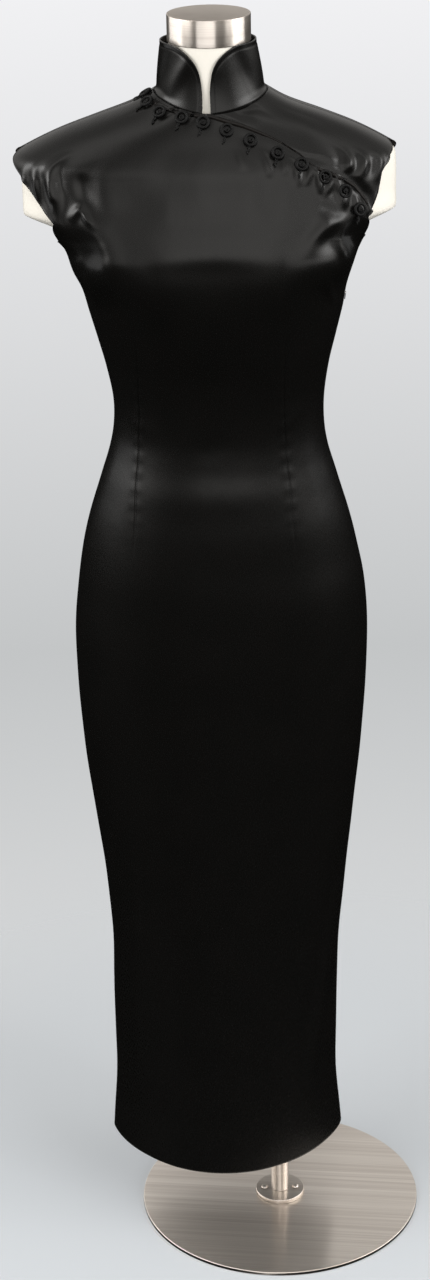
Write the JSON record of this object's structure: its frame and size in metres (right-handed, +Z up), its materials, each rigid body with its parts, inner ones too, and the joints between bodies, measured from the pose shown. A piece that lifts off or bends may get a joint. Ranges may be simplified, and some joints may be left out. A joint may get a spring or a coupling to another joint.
{
  "type": "long fitted satin dress on a limbless dress form with stand",
  "caption": "Ankle-length sleeveless stand-collar dress with a slanting ring-button overlap, on a limbless dress form with steel neck cap, pole and round base.",
  "frame": {"origin": "centre of the round base plate's underside, on the floor", "axes": "+Z up the pole to the neck cap, the dress's front faces -Y"},
  "size_m": [0.4819, 0.3708, 1.6],
  "materials": {
    "brushed_steel": "brushed stainless steel",
    "form_shell": "smooth off-white moulded plastic",
    "black_satin": "black satin, smooth lustrous face",
    "satin_cord": "rolled black satin cord",
    "hook_wire": "plain drawn steel wire"
  },
  "bodies": {
    "root": {"base_plate": "brushed_steel", "pole_flange": "brushed_steel", "pole": "brushed_steel", "flange_screw_1": "brushed_steel", "flange_screw_2": "brushed_steel", "neck_cap": "brushed_steel", "form_torso": "form_shell", "dress_front": "black_satin", "dress_back": "black_satin", "dress_under_flap": "black_satin", "stand_collar": "black_satin", "button_loop_01": "satin_cord", "button_loop_02": "satin_cord", "button_loop_03": "satin_cord", "button_loop_04": "satin_cord", "button_loop_05": "satin_cord", "button_loop_06": "satin_cord", "button_loop_07": "satin_cord", "button_loop_08": "satin_cord", "button_loop_09": "satin_cord", "button_loop_10": "satin_cord", "button_loop_11": "satin_cord", "button_loop_12": "satin_cord", "button_knot_01": "satin_cord", "button_knot_02": "satin_cord", "button_knot_03": "satin_cord", "button_knot_04": "satin_cord", "button_knot_05": "satin_cord", "button_knot_06": "satin_cord", "button_knot_07": "satin_cord", "button_knot_08": "satin_cord", "button_knot_09": "satin_cord", "button_knot_10": "satin_cord", "button_knot_11": "satin_cord", "button_knot_12": "satin_cord", "side_hook": "hook_wire"}
  },
  "joints": []
}
